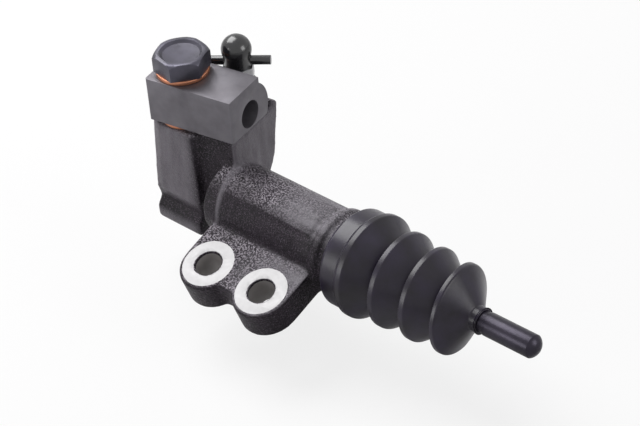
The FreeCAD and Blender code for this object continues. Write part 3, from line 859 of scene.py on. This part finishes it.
@dataclass
class DustBoot:
    """The rubber bellows between the cylinder's mouth and the push rod."""

    finishes: Finishes
    places: Places
    wall: float = 0.00078
    seat_radius: float = 0.0119
    seat_round: float = 0.0002
    lip_start: float = 0.0501
    lip_end: float = 0.0583
    lip_radius: float = 0.0170
    lip_step: float = 0.0026
    lip_slope: float = 0.0022
    lip_round: float = 0.0008
    crests: int = 4
    crest_start: float = 0.0606
    crest_pitch: float = 0.0121
    crest_radius: float = 0.0180
    crest_taper: float = 0.0006
    crest_drop: float = 0.0010
    crest_flat: float = 0.0008
    crest_round: float = 0.0011
    crest_edge: float = 0.0004
    valley_depth: float = 0.0054
    valley_round: float = 0.0008
    valley_start: float = 0.0033
    valley_end: float = 0.0022
    neck_start: float = 0.1038
    neck_end: float = 0.1066
    neck_radius: float = 0.0043
    neck_round: float = 0.0004
    neck_lip: float = 0.0003
    neck_grip: float = 0.0033
    rod_radius: float = 0.00385
    grip_round: float = 0.0001
    skew: float = 0.10
    far_skew: float = 0.18
    round_steps: int = 128
    corner_steps: int = 6
    corner_share: float = 0.49
    sharp_angle: float = 50.0

    def crest(self, index: int) -> float:
        """Find a crest's station, counted from 0 at the lip."""
        return self.crest_start + index * self.crest_pitch

    def corners(self) -> list[Corner]:
        """Work out the outside corners from the lip to the neck.

        Returns:
            The corners, in order along the bellows and then back inside the neck.
        """
        corners = [
            Corner(self.lip_start, self.seat_radius, self.seat_round),
            Corner(self.lip_start, self.lip_radius - self.lip_step, self.lip_round),
            Corner(self.lip_start + self.lip_slope, self.lip_radius, self.crest_round),
            Corner(self.lip_end, self.lip_radius, self.valley_round),
        ]
        for index in range(self.crests):
            station = self.crest(index)
            radius = self.crest_radius - index * self.crest_taper - (self.crest_drop if index else 0.0)
            if index:
                valley = radius - self.valley_depth
                corners.append(Corner(station - self.valley_start, valley, self.valley_round))
                corners.append(Corner(station - self.valley_end, valley, self.valley_round))
            corners.append(Corner(station - self.crest_round, radius, self.crest_edge))
            corners.append(Corner(station + self.crest_flat, radius, self.crest_round))
        lip = self.neck_end + self.neck_lip
        corners += [
            Corner(self.neck_start, self.neck_radius, self.valley_round),
            Corner(self.neck_end, self.neck_radius, self.neck_round),
            Corner(lip, self.rod_radius + self.neck_lip, self.seat_round),
            Corner(lip, self.rod_radius, self.grip_round),
            Corner(self.neck_end, self.rod_radius, self.grip_round),
            Corner(self.neck_end, self.neck_grip, self.grip_round),
            Corner(self.neck_start, self.neck_grip, self.seat_round),
        ]
        return corners

    def outline(self) -> list[Vector]:
        """Round the corners into a smooth outline.

        Returns:
            The outline's points, as stations and radii.
        """
        corners = self.corners()
        points = [corners[0].point()]
        for before, corner, after in zip(corners, corners[1:], corners[2:]):
            spot = corner.point()
            inward = before.point() - spot
            outward = after.point() - spot
            wanted = corner.rounding / math.tan(inward.angle(outward) / 2)
            reach = min(wanted, inward.length * self.corner_share, outward.length * self.corner_share)
            start = spot + inward.normalized() * reach
            end = spot + outward.normalized() * reach
            for index in range(self.corner_steps + 1):
                share = index / self.corner_steps
                points.append(start * (1 - share) ** 2 + spot * 2 * share * (1 - share) + end * share ** 2)
        points.append(corners[-1].point())
        return points

    def turned(self, name: str, points: list[Vector]) -> bpy.types.Object:
        """Turn a stretch of the outline about the barrel's axis.

        Args:
            name: Name of the new piece.
            points: The stretch's points.

        Returns:
            The new object, an open skin.
        """
        work = bmesh.new()
        turns = [2 * math.pi * index / self.round_steps for index in range(self.round_steps)]
        rings = []
        for along, radius in points:
            rings.append([work.verts.new((self.places.station(along),
                                          self.places.axis_y + radius * math.cos(turn),
                                          self.places.axis_z + radius * math.sin(turn))) for turn in turns])
        for first, second in zip(rings, rings[1:]):
            for index in range(self.round_steps):
                after = (index + 1) % self.round_steps
                work.faces.new((first[index], first[after], second[after], second[index]))
        return add_piece(name, mesh_of(work, name))

    def build(self) -> None:
        """Turn the bellows and split it in its last valley, where the piston's end hides the join."""
        points = self.outline()
        split = self.crest(self.crests - 1) - (self.valley_start + self.valley_end) / 2
        reach = next(index for index, point in enumerate(points) if point.x > split)
        self.main = self.turned("boot_bellows", points[:reach + 1])
        self.end = self.turned("boot_end", points[reach:])
        for piece in (self.main, self.end):
            self.lean(piece)
            solid = piece.modifiers.new("Wall", "SOLIDIFY")
            solid.thickness = self.wall
            solid.offset = -1
            apply_modifiers(piece)
            shade_smooth(piece, self.sharp_angle)

    def lean(self, piece: bpy.types.Object) -> None:
        """Lean the convolutions a little, more towards the last crest, as soft rubber sits.

        Args:
            piece: One half of the bellows.
        """
        first = self.places.station(self.lip_end)
        last = self.places.station(self.crest(self.crests - 1))
        neck = self.places.station(self.neck_start)
        for vert in piece.data.vertices:
            rise = min(1.0, max(0.0, (vert.co.x - first) / (last - first)))
            fall = min(1.0, max(0.0, (neck - vert.co.x) / (neck - last)))
            aside = vert.co.y - self.places.axis_y
            vert.co.x -= (self.far_skew if aside > 0 else self.skew) * rise * fall * aside

    def dress(self) -> None:
        """Give the bellows its rubber, bake its two pieces where they stand and hide the CAD boot."""
        for piece in (self.main, self.end):
            piece.data.materials.append(self.finishes.rubber)
        last = self.crest(self.crests - 1)
        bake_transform(self.main, Body.CYLINDER.value, Body.PISTON.value,
                 self.places.on_axis(self.lip_end), self.places.on_axis(last - self.valley_start))
        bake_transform(self.end, Body.PISTON.value, Body.ROD.value,
                 self.places.on_axis(last - self.valley_end), self.places.on_axis(self.neck_start))
        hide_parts("dust_boot")


@dataclass
class ReturnSpring:
    """The tapered spring behind the piston, which shortens as the piston slides in."""

    material: bpy.types.Material
    node: str = "return_spring"
    joint: str = "piston_slide"
    sharp_angle: float = 40.0

    def build(self) -> None:
        """Copy the spring's node and give it its finish."""
        self.piece = copy_of(self.node, "spring_dressed")
        self.piece.data.materials.append(self.material)
        shade_smooth(self.piece, self.sharp_angle)

    def dress(self) -> None:
        """Let the spring ride on the cylinder body in place of its CAD node, with a mesh of its own."""
        put_on(self.piece, Body.CYLINDER, "spring", self.node)
        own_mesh(self.piece)


@dataclass(frozen=True)
class Lamp:
    """One square light that faces the object."""

    name: str
    place: Place
    side: float
    power: float

    def hang(self, target: Place) -> None:
        """Hang the lamp.

        Args:
            target: The point that it faces.
        """
        data = bpy.data.lights.new(self.name, "AREA")
        data.size = self.side
        data.energy = self.power
        lamp = bpy.data.objects.new(self.name, data)
        lamp.location = self.place
        aim = Vector(target) - Vector(self.place)
        lamp.rotation_euler = aim.to_track_quat("-Z", "Y").to_euler()
        bpy.context.scene.collection.objects.link(lamp)


@dataclass
class Studio:
    """A pale floor, a white surround, soft lights and the photograph's camera."""

    image_width: float = 640.0
    focal_pixels: float = 3051.92
    sensor: float = 36.0
    clip: Span = (0.01, 20.0)
    camera_place: Place = (0.58840, -0.52271, 0.60827)
    camera_right: Place = (0.73032, 0.67872, -0.07731)
    camera_down: Place = (0.36251, -0.48101, -0.79826)
    floor_level: float = -0.03
    floor_half: float = 3.0
    floor_colour: Colour = (0.70, 0.695, 0.70, 1)
    floor_roughness: float = 0.9
    floor_lift: float = 0.80
    surround: Colour = (1, 1, 1, 1)
    surround_on_surfaces: float = 0.28
    surround_seen: float = 1.0
    target: Place = (0.02, 0.027, 0.005)
    lamps: tuple[Lamp, ...] = (
        Lamp("key", (-0.30, -0.62, 0.16), 0.30, 1.5),
        Lamp("softbox", (-0.50, 0.08, 0.68), 0.62, 8.5),
        Lamp("fill", (0.75, 0.25, 0.35), 0.40, 2.2),
    )

    def build(self) -> None:
        """Build the surroundings."""
        self.camera()
        self.floor()
        self.world()
        for lamp in self.lamps:
            lamp.hang(self.target)
        bpy.context.scene.view_settings.view_transform = "Standard"

    def camera(self) -> None:
        """Place the camera by the fitted view."""
        data = bpy.data.cameras.new("camera")
        data.sensor_width = self.sensor
        data.lens = self.focal_pixels / self.image_width * self.sensor
        data.clip_start, data.clip_end = self.clip
        camera = bpy.data.objects.new("camera", data)
        bpy.context.scene.collection.objects.link(camera)
        right = Vector(self.camera_right).normalized()
        back = right.cross(-Vector(self.camera_down)).normalized()
        turn = Matrix((right, back.cross(right), back)).transposed().to_4x4()
        camera.matrix_world = Matrix.Translation(self.camera_place) @ turn
        bpy.context.scene.camera = camera

    def floor(self) -> None:
        """Lay the pale floor."""
        half, level = self.floor_half, self.floor_level
        corners = [(-half, -half, level), (half, -half, level), (half, half, level), (-half, half, level)]
        mesh = bpy.data.meshes.new("floor")
        mesh.from_pydata(corners, [], [(0, 1, 2, 3)])
        shader = Shader("floor_white")
        shader.set(Base_Color=self.floor_colour, Roughness=self.floor_roughness)
        shader.lift_for_camera(self.floor_lift)
        mesh.materials.append(shader.material)
        add_piece("floor", mesh)

    def world(self) -> None:
        """Make the white surround, pure white where it is seen and softer on the surfaces."""
        world = bpy.data.worlds.new("studio")
        world.use_nodes = True
        tree = world.node_tree
        soft = tree.nodes["Background"]
        seen = tree.nodes.new("ShaderNodeBackground")
        for shader, strength in ((soft, self.surround_on_surfaces), (seen, self.surround_seen)):
            shader.inputs["Color"].default_value = self.surround
            shader.inputs["Strength"].default_value = strength
        path = tree.nodes.new("ShaderNodeLightPath")
        shown = path.outputs["Is Camera Ray"]
        for ray in ("Is Glossy Ray", "Is Transmission Ray"):
            either = tree.nodes.new("ShaderNodeMath")
            either.operation = "MAXIMUM"
            tree.links.new(shown, either.inputs[0])
            tree.links.new(path.outputs[ray], either.inputs[1])
            shown = either.outputs["Value"]
        mix = tree.nodes.new("ShaderNodeMixShader")
        tree.links.new(shown, mix.inputs["Fac"])
        tree.links.new(soft.outputs["Background"], mix.inputs[1])
        tree.links.new(seen.outputs["Background"], mix.inputs[2])
        tree.links.new(mix.outputs["Shader"], tree.nodes["World Output"].inputs["Surface"])
        bpy.context.scene.world = world


def finish_kept_nodes(finishes: Finishes) -> None:
    """Give the CAD nodes that are shown as they are their finishes.

    Args:
        finishes: The finishes.
    """
    kept = {
        "pressure_cup": finishes.rubber,
        "guide_cup": finishes.rubber,
        "spring_seat": finishes.spring,
        "stop_ring": finishes.spring,
    }
    for node, material in kept.items():
        materials = bpy.data.objects[node].data.materials
        materials.clear()
        materials.append(material)


def main() -> None:
    """Build and dress every sub-assembly, then the studio."""
    places = Places.from_frame()
    finishes = Finishes()
    pieces = [
        Casting(finishes, places),
        SoftEdged("pipe_union", Body.CYLINDER, "union", finishes.union, width=0.0006),
        BoltHead("banjo_bolt", Body.CYLINDER, "bolt", finishes.bolt),
        SoftEdged("union_washer_upper", Body.CYLINDER, "copper", finishes.copper),
        SoftEdged("union_washer_lower", Body.CYLINDER, "copper", finishes.copper),
        SoftEdged("bleeder_screw", Body.BLEEDER, "bleeder", finishes.steel, width=0.0002),
        SoftEdged("bleeder_cap", Body.CAP, "rubber", finishes.cap, width=0.0006),
        SoftEdged("piston", Body.PISTON, "piston", finishes.bright),
        SoftEdged("push_rod", Body.ROD, "rod", finishes.rod),
        DustBoot(finishes, places),
        ReturnSpring(finishes.spring),
    ]
    for piece in pieces:
        piece.build()
        piece.dress()
        LOG.info("%s is dressed", type(piece).__name__)
    finish_kept_nodes(finishes)
    Studio().build()


if __name__ == "__main__":
    logging.basicConfig(level=logging.INFO)
    main()
